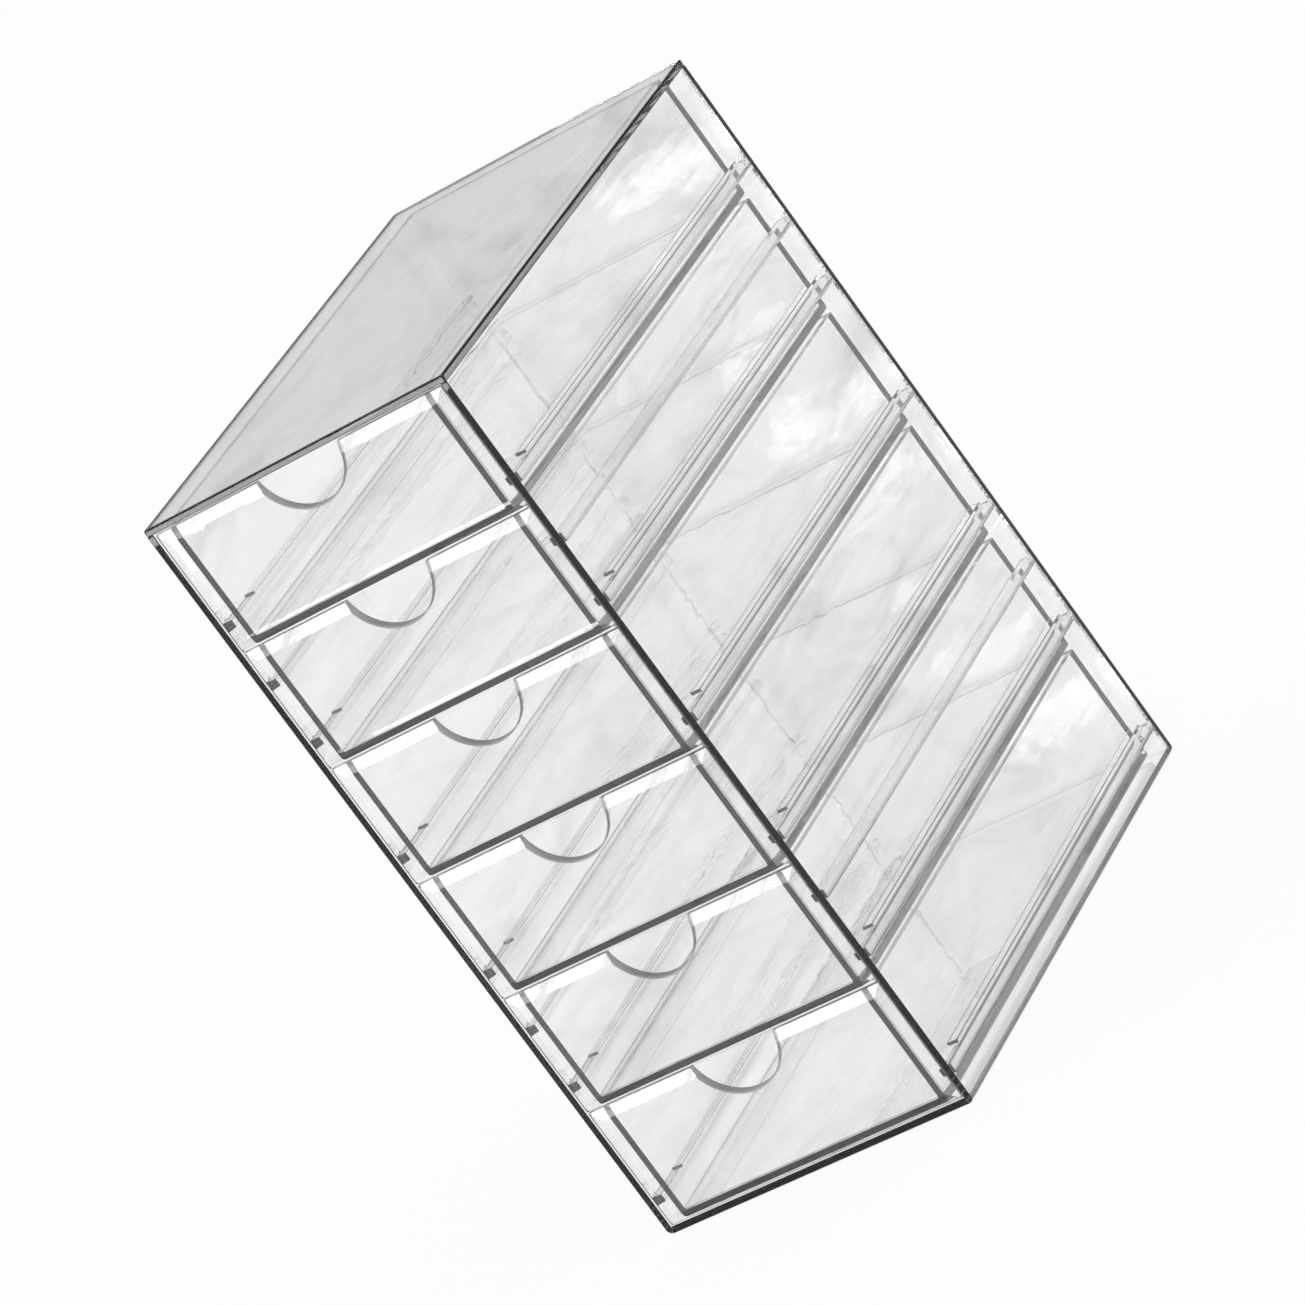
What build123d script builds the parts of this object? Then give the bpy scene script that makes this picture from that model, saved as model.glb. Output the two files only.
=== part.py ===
from build123d import *
import os

# Clear moulded desktop organizer: a five-panel cabinet, open at the front, with guide rails bonded
# along its side walls and a column of identical drawers that slide out towards -Y.
# Millimetres, +Z up, the front faces -Y, the origin is under the middle of the whole box.

# Cabinet
cabinet_width = 110.0
cabinet_depth = 184.0
cabinet_height = 248.0
panel_thickness = 2.1
bond_line = 0.05
lower_edge_radius = 1.9
eased_edge = 0.3

# Drawer fronts
drawer_count = 6
front_thickness = 3.0
front_proud = 0.8
front_side_gap = 0.5
gap_between_fronts = 0.5
gap_under_lowest_front = 0.4
gap_over_highest_front = 0.7
bevel_width = 3.2
bevel_depth = 1.0
notch_width = 29.5
notch_depth = 13.2
notch_edge_bevel = 0.4

# Drawer trays
tray_wall = 2.0
tray_floor = 2.2
tray_corner_radius = 1.0
least_inner_radius = 0.5
tray_lift = 0.5
tray_rim_drop = 0.5
tray_back_gap = 1.0

# Rails on the cabinet walls and the runners that slide on them
rail_reach = 3.2
rail_root_height = 3.0
rail_tip_height = 2.4
rail_tray_gap = 2.0
rail_height_over_tray = 8.8
rail_front_gap = 0.6
runner_thickness = 1.0
runner_gap = 0.25
runner_wall_gap = 1.6
runner_front_gap = 12.0
drawers_with_spare_rail = (2, 5)

# Places worked out from the sizes above
front_plane = -(cabinet_depth + front_proud) / 2
cabinet_front = front_plane + front_proud
back_plane = cabinet_front + cabinet_depth
inner_width = cabinet_width - 2 * panel_thickness
inner_height = cabinet_height - 2 * panel_thickness
inner_back = back_plane - panel_thickness
joined_back = inner_back - bond_line
joined_depth = joined_back - cabinet_front

end_gaps = gap_under_lowest_front + gap_over_highest_front
front_height = (inner_height - end_gaps - (drawer_count - 1) * gap_between_fronts) / drawer_count
front_width = inner_width - 2 * front_side_gap
drawer_pitch = front_height + gap_between_fronts
lowest_front = panel_thickness + gap_under_lowest_front

notch_radius = (notch_width**2 / 4 + notch_depth**2) / (2 * notch_depth)
notch_centre = lowest_front + front_height - notch_depth + notch_radius

side_space = rail_reach + rail_tray_gap
tray_width = inner_width - 2 * side_space
tray_front = front_plane + front_thickness + bond_line
tray_depth = inner_back - tray_back_gap - tray_front
tray_under = lowest_front + tray_lift
tray_height = front_height - tray_lift - tray_rim_drop
inner_radius = max(tray_corner_radius - tray_wall, least_inner_radius)

lowest_rail_top = tray_under + rail_height_over_tray
rail_start = front_plane + front_thickness + rail_front_gap
rail_length = joined_back - rail_start
runner_under = lowest_rail_top + runner_gap
runner_reach = side_space - runner_wall_gap
runner_start = tray_front + runner_front_gap
runner_length = tray_depth - tray_corner_radius - runner_front_gap


def level(drawer):
    """Height of a drawer above the lowest one, counting drawers from the top."""
    return (drawer_count - drawer) * drawer_pitch


def save(piece, name):
    """Label a finished piece and write its STEP file."""
    piece.label = name
    export_step(piece, f"parts/{name}.step")


os.makedirs("parts", exist_ok=True)

# Top panel: covers the full width and depth, with all its outer edges eased
with BuildPart() as top_panel:
    with BuildSketch(Plane.XY.offset(cabinet_height - panel_thickness)):
        with Locations((0, (cabinet_front + back_plane) / 2)):
            RectangleRounded(cabinet_width, cabinet_depth, 2 * eased_edge)
    extrude(amount=panel_thickness)
    fillet(top_panel.faces().sort_by(Axis.Z)[-1].edges(), 2 * eased_edge)
    fillet(top_panel.faces().sort_by(Axis.Z)[0].edges(), eased_edge)
save(top_panel.part, "top_panel")

# Side panels: from the standing surface to the top panel, rounded along the lower edge
side_panel_height = cabinet_height - panel_thickness - bond_line
with BuildPart() as left_side_panel:
    with BuildSketch(Plane.XZ.offset(-joined_back)) as side_profile:
        with Locations((-cabinet_width / 2, 0)):
            Rectangle(panel_thickness, side_panel_height, align=(Align.MIN, Align.MIN))
        outer_corners = side_profile.vertices().group_by(Axis.X)[0]
        fillet(outer_corners.sort_by(Axis.Y)[0], lower_edge_radius)
    extrude(amount=joined_depth)
    fillet(left_side_panel.faces().sort_by(Axis.Y)[0].edges(), eased_edge)
save(left_side_panel.part, "left_side_panel")

with BuildPart() as right_side_panel:
    mirror(left_side_panel.part, about=Plane.YZ)
save(right_side_panel.part, "right_side_panel")

# Back panel: covers the back ends of the side panels and is rounded at its lower corners like them
with BuildPart() as back_panel:
    with BuildSketch(Plane.XZ.offset(-back_plane)) as back_outline:
        Rectangle(cabinet_width, side_panel_height, align=(Align.CENTER, Align.MIN))
        fillet(back_outline.vertices().group_by(Axis.Y)[0], lower_edge_radius)
    extrude(amount=panel_thickness)
    fillet(back_panel.faces().sort_by(Axis.Y)[-1].edges(), eased_edge)
save(back_panel.part, "back_panel")

# Base panel: lies between the side panels, in front of the back panel
with BuildPart() as base_panel:
    with BuildSketch(Plane.XY):
        with Locations((0, cabinet_front)):
            Rectangle(inner_width - 2 * bond_line, joined_depth, align=(Align.CENTER, Align.MIN))
    extrude(amount=panel_thickness)
    fillet(base_panel.faces().sort_by(Axis.Y)[0].edges(), eased_edge)
save(base_panel.part, "base_panel")

# Rail: flat on top, tapered underneath, bonded to the side wall from front to back
wall_face = -inner_width / 2 + bond_line
rail_tip = -inner_width / 2 + rail_reach
with BuildPart() as lowest_left_rail:
    with BuildSketch(Plane.XZ.offset(-rail_start)) as rail_profile:
        with BuildLine():
            Polyline(
                (wall_face, lowest_rail_top),
                (rail_tip, lowest_rail_top),
                (rail_tip, lowest_rail_top - rail_tip_height),
                (wall_face, lowest_rail_top - rail_root_height),
                close=True,
            )
        make_face()
        fillet(rail_profile.vertices().group_by(Axis.X)[-1], eased_edge)
    extrude(amount=-rail_length)

# One rail for each drawer, and a spare half a drawer higher where a taller drawer could ride instead
rail_levels = [level(drawer) for drawer in range(1, drawer_count + 1)]
rail_levels += [level(drawer) + drawer_pitch / 2 for drawer in drawers_with_spare_rail]
for number, rail_level in enumerate(sorted(rail_levels, reverse=True), start=1):
    with BuildPart() as left_rail:
        with Locations((0, 0, rail_level)):
            add(lowest_left_rail.part)
    save(left_rail.part, f"left_rail_{number}")
    with BuildPart() as right_rail:
        mirror(left_rail.part, about=Plane.YZ)
    save(right_rail.part, f"right_rail_{number}")

# Drawer front: a bevelled plate with a round finger notch in its upper edge, eased front and back
with BuildPart() as lowest_front_plate:
    with BuildSketch(Plane.XZ.offset(-front_plane)):
        with Locations((0, lowest_front)):
            Rectangle(front_width, front_height, align=(Align.CENTER, Align.MIN))
    extrude(amount=-front_thickness)
    front_face = lowest_front_plate.faces().sort_by(Axis.Y)[0]
    chamfer(front_face.edges(), bevel_width, bevel_depth, reference=front_face)
    with BuildSketch(Plane.XZ.offset(-front_plane)):
        with Locations((0, notch_centre)):
            Circle(notch_radius)
    extrude(amount=-front_thickness, mode=Mode.SUBTRACT)
    notch_arcs = lowest_front_plate.edges().filter_by(GeomType.CIRCLE)
    chamfer(notch_arcs, notch_edge_bevel)

# Hollow of a tray: open at the top and towards the drawer front
with BuildPart() as tray_hollow:
    with BuildSketch(Plane.XY.offset(tray_under + tray_floor)) as hollow_plan:
        with Locations((0, tray_front - tray_wall)):
            Rectangle(tray_width - 2 * tray_wall, tray_depth, align=(Align.CENTER, Align.MIN))
        fillet(hollow_plan.vertices().group_by(Axis.Y)[-1], inner_radius)
    extrude(amount=tray_height)
    hollow_floor = tray_hollow.faces().sort_by(Axis.Z)[0]
    fillet(hollow_floor.edges().sort_by(Axis.Y)[1:], inner_radius)

# Tray: rounded along the floor and up the back corners, with a runner along each side wall
with BuildPart() as lowest_tray:
    with BuildSketch(Plane.XY.offset(tray_under)) as tray_plan:
        with Locations((0, tray_front)):
            Rectangle(tray_width, tray_depth, align=(Align.CENTER, Align.MIN))
        fillet(tray_plan.vertices().group_by(Axis.Y)[-1], tray_corner_radius)
    extrude(amount=tray_height)
    tray_underside = lowest_tray.faces().sort_by(Axis.Z)[0]
    fillet(tray_underside.edges().sort_by(Axis.Y)[1:], tray_corner_radius)
    add(tray_hollow.part, mode=Mode.SUBTRACT)
    with BuildSketch(Plane.XZ.offset(-runner_start)) as runner_profile:
        runner_span = runner_reach + tray_wall / 2
        with Locations((-tray_width / 2 - runner_reach, runner_under)):
            Rectangle(runner_span, runner_thickness, align=(Align.MIN, Align.MIN))
        fillet(runner_profile.vertices().group_by(Axis.X)[0], eased_edge)
        mirror(about=Plane.YZ)
    extrude(amount=-runner_length)

for drawer in range(1, drawer_count + 1):
    with BuildPart() as drawer_front:
        with Locations((0, 0, level(drawer))):
            add(lowest_front_plate.part)
    save(drawer_front.part, f"drawer_{drawer}_front")
    with BuildPart() as drawer_tray:
        with Locations((0, 0, level(drawer))):
            add(lowest_tray.part)
    save(drawer_tray.part, f"drawer_{drawer}_tray")
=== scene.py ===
import logging
import math
from dataclasses import dataclass
from enum import Enum

import bpy
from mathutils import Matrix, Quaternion, Vector

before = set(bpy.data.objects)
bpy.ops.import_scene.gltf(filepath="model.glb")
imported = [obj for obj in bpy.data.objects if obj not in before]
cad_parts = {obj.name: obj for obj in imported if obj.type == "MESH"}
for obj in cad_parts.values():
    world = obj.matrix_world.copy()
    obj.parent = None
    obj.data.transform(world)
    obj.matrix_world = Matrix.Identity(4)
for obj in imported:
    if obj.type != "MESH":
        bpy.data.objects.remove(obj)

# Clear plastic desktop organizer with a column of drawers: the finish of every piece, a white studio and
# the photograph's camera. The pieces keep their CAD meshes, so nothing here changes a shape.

log = logging.getLogger("drawer_organizer")

MM = 0.001
DRAWER_COUNT = 6

# A line of sight crosses about a dozen clear walls, each with two faces
WALL_BOUNCES = 32
# Light that is mirrored more often than this inside a wall counts as lost, which keeps the edges dark
MIRROR_BOUNCES = 12

Colour = tuple[float, float, float, float]
Triple = tuple[float, float, float]
Pair = tuple[float, float]


class Slot(Enum):
    """Material slots of the part's record."""

    CABINET = "clear_cabinet"
    RAIL = "clear_rail"
    FRONT = "clear_front"
    TRAY = "clear_tray"


class Ray(Enum):
    """Kinds of ray that the studio shows itself to in its own way."""

    CAMERA = "Is Camera Ray"
    REFLECTION = "Is Reflection Ray"
    TRANSMISSION = "Is Transmission Ray"


Finishes = dict[Slot, bpy.types.Material]


def linear_colour(hex_code: str) -> Colour:
    """Turn an sRGB hex colour into the linear colour that a shader takes.

    Args:
        hex_code: Colour as "#RRGGBB".

    Returns:
        Red, green, blue and an alpha of 1, in linear light.
    """
    channels = (int(hex_code[start:start + 2], 16) / 255 for start in (1, 3, 5))
    red, green, blue = (c / 12.92 if c <= 0.04045 else ((c + 0.055) / 1.055) ** 2.4 for c in channels)
    return red, green, blue, 1.0


def add_node(
    tree: bpy.types.NodeTree,
    kind: str,
    inputs: dict[str | int, object] | None = None,
    **settings: object,
) -> bpy.types.Node:
    """Add a node with its settings, its socket values and the links that reach it.

    Args:
        tree: Node tree that gets the node.
        kind: Blender's name of the node type.
        inputs: For each input, by name or index, a value or the output socket that feeds it.
        settings: Properties of the node itself.

    Returns:
        The new node.
    """
    node = tree.nodes.new(kind)
    for name, value in settings.items():
        setattr(node, name, value)
    for key, value in (inputs or {}).items():
        if isinstance(value, bpy.types.NodeSocket):
            tree.links.new(value, node.inputs[key])
        else:
            node.inputs[key].default_value = value
    return node


def empty_tree(owner: bpy.types.Material | bpy.types.World) -> bpy.types.NodeTree:
    """Give a material or world a node tree with nothing in it.

    Args:
        owner: Material or world to clear.

    Returns:
        Its empty node tree.
    """
    owner.use_nodes = True
    owner.node_tree.nodes.clear()
    return owner.node_tree


def seen_by(tree: bpy.types.NodeTree, rays: tuple[Ray, ...]) -> bpy.types.NodeSocket:
    """Make a socket that is 1 for the given kinds of ray and 0 for the rest.

    Args:
        tree: Node tree that gets the nodes.
        rays: Kinds of ray to let through.

    Returns:
        The socket with the sum, held to at most 1.
    """
    path = add_node(tree, "ShaderNodeLightPath")
    total = path.outputs[rays[0].value]
    for ray in rays[1:]:
        total = add_node(
            tree,
            "ShaderNodeMath",
            {0: total, 1: path.outputs[ray.value]},
            operation="ADD",
            use_clamp=True,
        ).outputs[0]
    return total


@dataclass(frozen=True)
class FlowPattern:
    """Soft pattern that the melt leaves as it runs through the mould.

    Attributes:
        size_mm: Distance from one patch to the next along X, Y and Z.
        octaves: Layers of finer detail.
        stir: How far the patches are pulled out of line.
    """

    size_mm: Triple
    octaves: float
    stir: float

    def add_to(self, tree: bpy.types.NodeTree) -> bpy.types.NodeSocket:
        """Add the pattern to a material.

        Args:
            tree: Node tree of the material.

        Returns:
            The pattern's socket, from 0 to 1.
        """
        place = add_node(tree, "ShaderNodeTexCoord").outputs["Object"]
        patches = add_node(
            tree,
            "ShaderNodeMapping",
            {"Vector": place, "Scale": tuple(1 / (size * MM) for size in self.size_mm)},
        ).outputs["Vector"]
        noise = add_node(
            tree,
            "ShaderNodeTexNoise",
            {"Vector": patches, "Scale": 1.0, "Detail": self.octaves, "Distortion": self.stir},
        )
        return noise.outputs["Fac"]


@dataclass(frozen=True)
class FlowClouds(FlowPattern):
    """Faint grey patches in a wall, drawn out along the flow.

    Attributes:
        tint_span: Pattern values where a cloud starts, and where it has its full tint.
        haze_span: Pattern values where a face is cleanest, and where it is haziest.
    """

    octaves: float = 4.0
    stir: float = 1.4
    tint_span: Pair = (0.52, 0.76)
    haze_span: Pair = (0.4, 0.8)


@dataclass(frozen=True)
class FlowWaves(FlowPattern):
    """Shallow waves that a face keeps as it cools.

    Attributes:
        height_mm: Height of the waves.
    """

    octaves: float = 2.0
    stir: float = 0.6
    height_mm: float = 0.05


# To the eye, this plastic is glossy and nearly colourless face on, with faint clouds where the melt flowed.
# Its waves bend what shows through. Light that runs along inside a wall is lost, so that every edge seen
# end on reads dark grey.
@dataclass(frozen=True)
class ClearPolystyrene:
    """Clear general-purpose polystyrene, injection moulded in a polished tool.

    Attributes:
        slot: Record slot that the finish dresses.
        clear_tint: Colour of a clear part of a wall.
        cloud_tint: Colour of a wall in the middle of a cloud.
        clouds: Clouds in the walls.
        waves: Waves in the faces.
        inner_tint: Colour that is left after a long path inside the plastic.
        loss_per_metre: How fast light is lost inside the plastic.
        face_roughness: Roughness of the faces towards the front and back, where clean and where cloudy.
        edge_roughness: Roughness of the faces that turn away from the front and back.
        edge_span: Share of a normal along Y at which a face counts as edge, and at which it counts as face.
        ior: Refractive index.
    """

    slot: Slot
    clear_tint: str = "#FFFFFF"
    cloud_tint: str = "#F0F0F0"
    clouds: FlowClouds = FlowClouds((26.0, 74.0, 17.0))
    waves: FlowWaves = FlowWaves((30.0, 44.0, 30.0))
    inner_tint: str = "#1C1D1D"
    loss_per_metre: float = 7.0
    face_roughness: Pair = (0.0, 0.02)
    edge_roughness: float = 0.0
    edge_span: Pair = (0.75, 0.85)
    ior: float = 1.59

    def build(self) -> bpy.types.Material:
        """Make the material.

        Returns:
            The finished node material.
        """
        material = bpy.data.materials.new(f"moulded_polystyrene_{self.slot.value}")
        tree = empty_tree(material)
        clouds = self.clouds.add_to(tree)
        tint = add_node(tree, "ShaderNodeValToRGB", {"Fac": clouds})
        clear, cloudy = tint.color_ramp.elements
        clear.position, cloudy.position = self.clouds.tint_span
        clear.color = linear_colour(self.clear_tint)
        cloudy.color = linear_colour(self.cloud_tint)
        ripple = add_node(
            tree,
            "ShaderNodeBump",
            {"Height": self.waves.add_to(tree), "Distance": self.waves.height_mm * MM, "Strength": 1.0},
        )
        shader = add_node(
            tree,
            "ShaderNodeBsdfPrincipled",
            {
                "Base Color": tint.outputs["Color"],
                "Roughness": self._roughness(tree, clouds),
                "IOR": self.ior,
                "Transmission Weight": 1.0,
                "Normal": ripple.outputs["Normal"],
            },
        )
        inside = add_node(
            tree,
            "ShaderNodeVolumeAbsorption",
            {"Color": linear_colour(self.inner_tint), "Density": self.loss_per_metre},
        )
        add_node(
            tree,
            "ShaderNodeOutputMaterial",
            {"Surface": shader.outputs["BSDF"], "Volume": inside.outputs["Volume"]},
        )
        return material

    def _roughness(self, tree: bpy.types.NodeTree, clouds: bpy.types.NodeSocket) -> bpy.types.NodeSocket:
        """Make the roughness: polished faces, hazier in the clouds, and the edges in their own finish.

        Args:
            tree: Node tree that gets the nodes.
            clouds: Pattern of the clouds.

        Returns:
            The roughness socket.
        """
        cleanest, haziest = self.clouds.haze_span
        clean, cloudy = self.face_roughness
        faces = add_node(
            tree,
            "ShaderNodeMapRange",
            {"Value": clouds, "From Min": cleanest, "From Max": haziest, "To Min": clean, "To Max": cloudy},
        )
        normal = add_node(tree, "ShaderNodeNewGeometry").outputs["Normal"]
        facing = add_node(tree, "ShaderNodeSeparateXYZ", {0: normal}).outputs["Y"]
        depthwise = add_node(tree, "ShaderNodeMath", {0: facing}, operation="ABSOLUTE")
        edge, face = self.edge_span
        return add_node(
            tree,
            "ShaderNodeMapRange",
            {
                "Value": depthwise.outputs[0],
                "From Min": edge,
                "From Max": face,
                "To Min": self.edge_roughness,
                "To Max": faces.outputs["Result"],
            },
        ).outputs["Result"]


# One plastic for every piece. What differs is how far light gets in it and how the melt ran.
FINISHES = (
    # Thin flat panels, clear face on, with a dark line along every outer edge
    ClearPolystyrene(Slot.CABINET, loss_per_metre=9.0),
    # Narrow bars, hardly clouded and a little greyer than the wall
    ClearPolystyrene(Slot.RAIL, cloud_tint="#F6F6F6", loss_per_metre=32.0),
    # Plates that filled sideways, with a satin notch and satin edges
    ClearPolystyrene(Slot.FRONT, clouds=FlowClouds((60.0, 20.0, 22.0)), edge_roughness=0.8),
    # Trays with dark floors and walls seen end on, and waves that make the rails behind them wander
    ClearPolystyrene(Slot.TRAY, waves=FlowWaves((18.0, 30.0, 18.0), height_mm=0.08), loss_per_metre=14.0),
)


def dress_node(node: str, finish: bpy.types.Material) -> None:
    """Put a finish on every material slot of a CAD node.

    Args:
        node: Name of the node.
        finish: Material to show on it.
    """
    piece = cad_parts[node]
    for material_slot in piece.material_slots:
        material_slot.material = finish
    log.info("dressed %s in %s", node, finish.name)


@dataclass
class Cabinet:
    """The open-fronted shell and the rails along its side walls.

    Attributes:
        panels: Nodes of the five panels.
        walls: Side walls that carry rails.
        rail_count: Rails on each side wall.
    """

    panels: tuple[str, ...] = (
        "top_panel",
        "left_side_panel",
        "right_side_panel",
        "back_panel",
        "base_panel",
    )
    walls: tuple[str, ...] = ("left", "right")
    rail_count: int = 8

    def rails(self) -> list[str]:
        """List the nodes of the rails on both walls."""
        numbers = range(1, self.rail_count + 1)
        return [f"{wall}_rail_{number}" for wall in self.walls for number in numbers]

    def dress(self, finishes: Finishes) -> None:
        """Give each panel and rail its finish.

        Args:
            finishes: Material of each slot.
        """
        for node in self.panels:
            dress_node(node, finishes[Slot.CABINET])
        for node in self.rails():
            dress_node(node, finishes[Slot.RAIL])


@dataclass
class Drawer:
    """One sliding drawer: a bevelled front plate and its tray.

    Attributes:
        number: Place in the column, counted from the top.
    """

    number: int

    def dress(self, finishes: Finishes) -> None:
        """Give the front and the tray the finishes of their slots."""
        dress_node(f"drawer_{self.number}_front", finishes[Slot.FRONT])
        dress_node(f"drawer_{self.number}_tray", finishes[Slot.TRAY])


@dataclass(frozen=True)
class AreaLamp:
    """A flat soft lamp, which shows in the object but not to the camera.

    Attributes:
        name: Name of the lamp.
        place: Where its middle is, in metres.
        aim: Point that it faces.
        size: Its width and height in metres.
        watts: Its power.
    """

    name: str
    place: Triple
    aim: Triple
    size: Pair
    watts: float

    def build(self) -> None:
        """Make the lamp and turn it to its aim."""
        data = bpy.data.lights.new(self.name, "AREA")
        data.shape = "RECTANGLE"
        data.size, data.size_y = self.size
        data.energy = self.watts
        lamp = bpy.data.objects.new(self.name, data)
        lamp.location = self.place
        lamp.rotation_euler = (Vector(self.aim) - lamp.location).to_track_quat("-Z", "Y").to_euler()
        lamp.visible_camera = False
        bpy.context.scene.collection.objects.link(lamp)
        log.info("hung %s", self.name)


@dataclass
class Studio:
    """A white paper floor in a pale, even room, with a broad lamp overhead and strip lights ahead.

    Attributes:
        floor_size: Length of a side of the floor in metres.
        floor_drop_mm: How far the floor lies under the object.
        paper: Colour of the floor and the room as they show.
        lit_paper: Colour of the floor under the lamps, where it takes the object's shadow.
        shade_share: Share of the floor's brightness that the object's shadow can take away.
        white_rays: Rays that see the floor as white paper.
        camera_side: Colour of the room ahead of the object.
        ahead_span: Direction along Y where the room starts to dim, and where it is dimmest.
        back_wall: Colour of the room behind the object, as the object mirrors it.
        behind_span: Direction along Y where that wall starts, and where it is full.
        broad_lamp: Soft lamp overhead.
        strip_place: Where the strip lights hang, across and ahead of the object, in metres.
        lowest_strip: Height of the lowest strip light in metres.
        strip_pitch: Height from one strip light to the next in metres.
        strip_size: Width and height of a strip light in metres.
        strip_watts: Power of a strip light.
    """

    floor_size: float = 14.0
    floor_drop_mm: float = 0.4
    paper: str = "#FFFFFF"
    lit_paper: str = "#F4F4F4"
    shade_share: float = 0.06
    white_rays: tuple[Ray, ...] = (Ray.CAMERA, Ray.TRANSMISSION)
    camera_side: str = "#848484"
    ahead_span: Pair = (-0.3, -0.55)
    back_wall: str = "#8C8C8C"
    behind_span: Pair = (0.45, 0.75)
    broad_lamp: AreaLamp = AreaLamp(
        "broad_lamp",
        place=(0.6, -0.9, 1.6),
        aim=(0.0, 0.0, 0.12),
        size=(1.2, 1.2),
        watts=5.0,
    )
    strip_place: Pair = (-0.299, -0.5)
    lowest_strip: float = 0.141
    strip_pitch: float = 0.0499
    strip_size: Pair = (0.18, 0.016)
    strip_watts: float = 0.05

    def build(self) -> None:
        """Make the floor, the room and the lamps."""
        self._floor()
        self._room()
        self.broad_lamp.build()
        self._strip_lights()

    def _floor(self) -> None:
        """Lay the paper floor, which shows white and keeps the object's shadow."""
        half = self.floor_size / 2
        level = -self.floor_drop_mm * MM
        mesh = bpy.data.meshes.new("paper_floor")
        mesh.from_pydata(
            [(-half, -half, level), (half, -half, level), (half, half, level), (-half, half, level)],
            [],
            [(0, 1, 2, 3)],
        )
        floor = bpy.data.objects.new("paper_floor", mesh)
        bpy.context.scene.collection.objects.link(floor)
        material = bpy.data.materials.new("white_paper")
        tree = empty_tree(material)
        lit = add_node(tree, "ShaderNodeBsdfDiffuse", {"Color": linear_colour(self.lit_paper)})
        glow = add_node(tree, "ShaderNodeEmission", {"Color": linear_colour(self.paper), "Strength": 1.0})
        share = add_node(
            tree,
            "ShaderNodeMath",
            {0: seen_by(tree, self.white_rays), 1: 1 - self.shade_share},
            operation="MULTIPLY",
        )
        blend = add_node(
            tree,
            "ShaderNodeMixShader",
            {0: share.outputs[0], 1: lit.outputs[0], 2: glow.outputs[0]},
        )
        add_node(tree, "ShaderNodeOutputMaterial", {"Surface": blend.outputs[0]})
        mesh.materials.append(material)
        log.info("laid %s", floor.name)

    def _room(self) -> None:
        """Paint the room white, dimmer on the camera's side, with a grey back wall in reflections."""
        world = bpy.data.worlds.new("pale_room")
        bpy.context.scene.world = world
        tree = empty_tree(world)
        direction = add_node(tree, "ShaderNodeTexCoord").outputs["Generated"]
        depth = add_node(tree, "ShaderNodeSeparateXYZ", {0: direction}).outputs["Y"]
        ahead, behind = (
            add_node(tree, "ShaderNodeMapRange", {"Value": depth, "From Min": start, "From Max": full})
            for start, full in (self.ahead_span, self.behind_span)
        )
        mirrored = add_node(
            tree,
            "ShaderNodeMath",
            {0: behind.outputs["Result"], 1: seen_by(tree, (Ray.REFLECTION,))},
            operation="MULTIPLY",
        )
        dimmed = add_node(
            tree,
            "ShaderNodeMixRGB",
            {0: ahead.outputs["Result"], 1: linear_colour(self.paper), 2: linear_colour(self.camera_side)},
        )
        around = add_node(
            tree,
            "ShaderNodeMixRGB",
            {0: mirrored.outputs[0], 1: dimmed.outputs[0], 2: linear_colour(self.back_wall)},
        )
        room = add_node(tree, "ShaderNodeBackground", {"Color": around.outputs[0], "Strength": 1.0})
        white = add_node(tree, "ShaderNodeBackground", {"Color": linear_colour(self.paper), "Strength": 1.0})
        shown = add_node(
            tree,
            "ShaderNodeMixShader",
            {0: seen_by(tree, (Ray.CAMERA,)), 1: room.outputs[0], 2: white.outputs[0]},
        )
        add_node(tree, "ShaderNodeOutputWorld", {"Surface": shown.outputs[0]})
        log.info("painted %s", world.name)

    def _strip_lights(self) -> None:
        """Hang a strip light for each drawer, where the upper bevel of its front mirrors it."""
        across, ahead = self.strip_place
        for row in range(DRAWER_COUNT):
            height = self.lowest_strip + row * self.strip_pitch
            AreaLamp(
                f"strip_light_{DRAWER_COUNT - row}",
                place=(across, ahead, height),
                aim=(across, 0.0, height),
                size=self.strip_size,
                watts=self.strip_watts,
            ).build()


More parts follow.
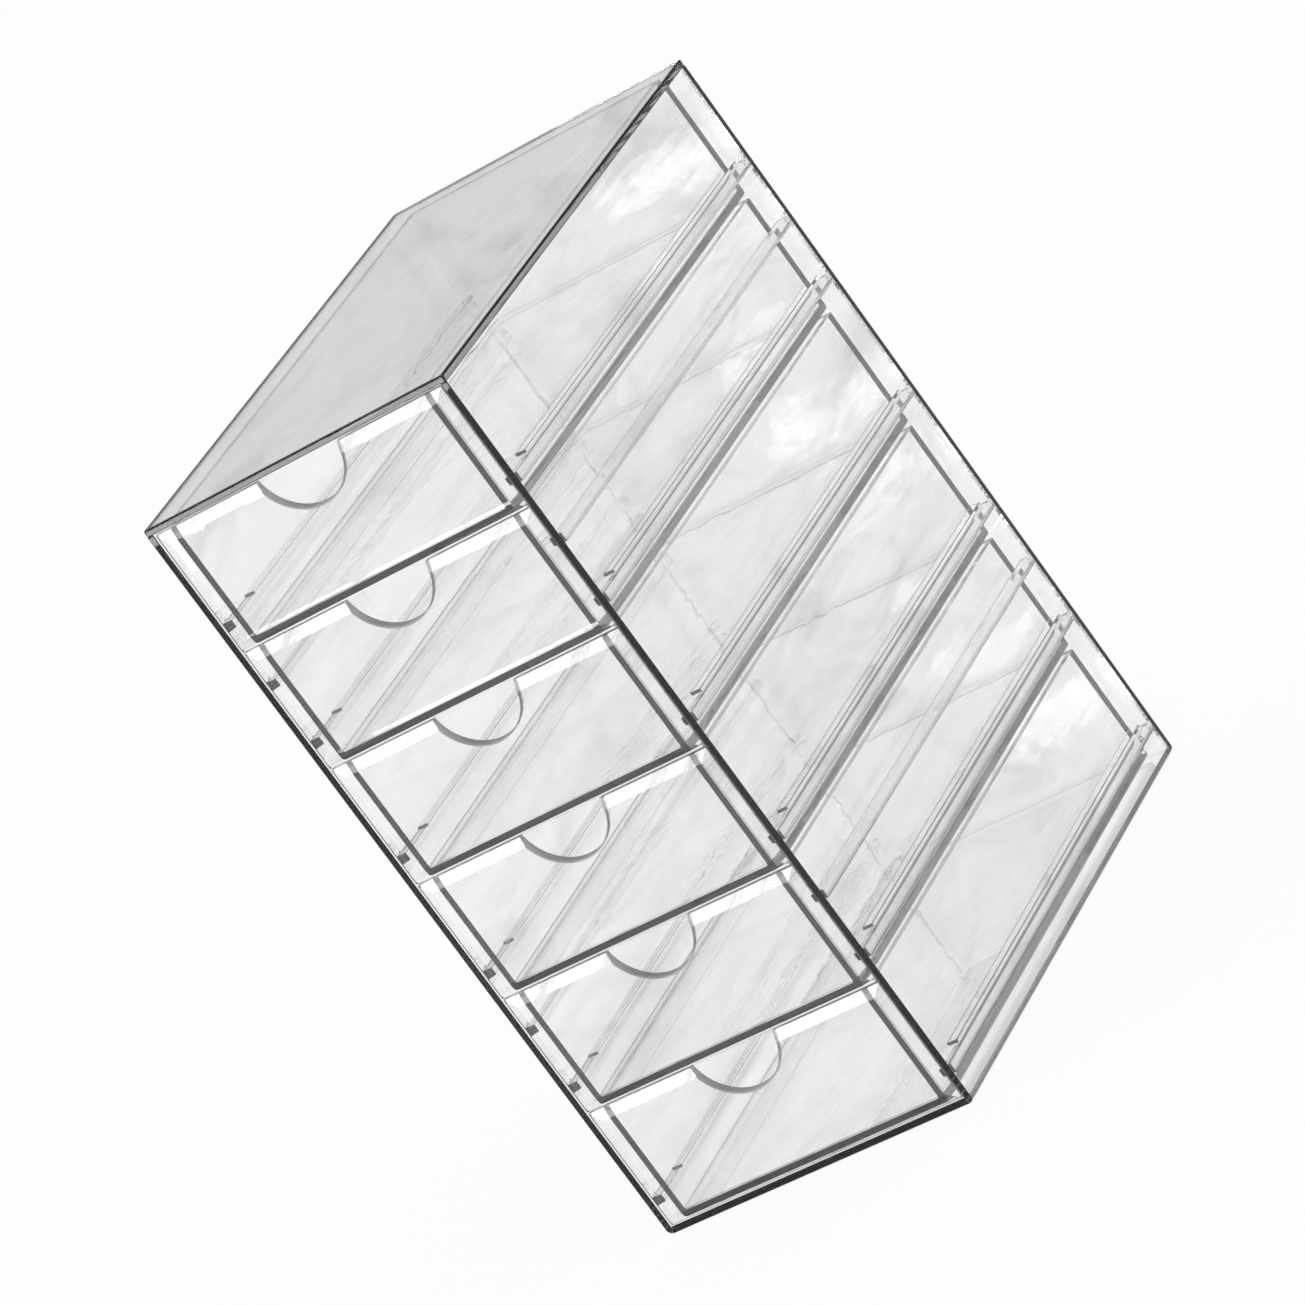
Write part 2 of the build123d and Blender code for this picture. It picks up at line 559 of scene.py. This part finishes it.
@dataclass(frozen=True)
class PhotographCamera:
    """The photograph's long lens, tipped over so that the object leans in the frame.

    Attributes:
        azimuth: Degrees round from the front towards +X.
        elevation: Degrees above the horizon.
        roll: Degrees that the camera is turned about its own axis.
        distance: Metres from the aim point.
        aim: Point at the middle of the frame.
        lens_mm: Focal length.
        sensor_mm: Width of the sensor.
        reach: How far the camera sees, in metres.
    """

    azimuth: float = 35.136
    elevation: float = 14.575
    roll: float = 36.239
    distance: float = 2.3224
    aim: Triple = (-0.0055, -0.0029, 0.1258)
    lens_mm: float = 230.6
    sensor_mm: float = 36.0
    reach: float = 50.0

    def build(self) -> None:
        """Make the camera and look through it."""
        azimuth, elevation = math.radians(self.azimuth), math.radians(self.elevation)
        away = Vector(
            (
                math.sin(azimuth) * math.cos(elevation),
                -math.cos(azimuth) * math.cos(elevation),
                math.sin(elevation),
            )
        )
        data = bpy.data.cameras.new("photograph_camera")
        data.lens = self.lens_mm
        data.sensor_width = self.sensor_mm
        data.clip_end = self.reach
        camera = bpy.data.objects.new("photograph_camera", data)
        camera.location = Vector(self.aim) + away * self.distance
        level_view = (-away).to_track_quat("-Z", "Y")
        turn = Quaternion((0.0, 0.0, 1.0), math.radians(-self.roll))
        camera.rotation_euler = (level_view @ turn).to_euler()
        bpy.context.scene.collection.objects.link(camera)
        bpy.context.scene.camera = camera
        log.info("placed %s", camera.name)


def main() -> None:
    """Dress the organizer, set up the studio and place the camera."""
    logging.basicConfig(level=logging.INFO, format="%(name)s: %(message)s")
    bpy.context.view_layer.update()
    finishes = {finish.slot: finish.build() for finish in FINISHES}
    Cabinet().dress(finishes)
    for number in range(1, DRAWER_COUNT + 1):
        Drawer(number).dress(finishes)
    Studio().build()
    PhotographCamera().build()
    scene = bpy.context.scene
    scene.view_settings.view_transform = "Standard"
    scene.cycles.max_bounces = WALL_BOUNCES
    scene.cycles.transmission_bounces = WALL_BOUNCES
    scene.cycles.glossy_bounces = MIRROR_BOUNCES


if __name__ == "__main__":
    main()
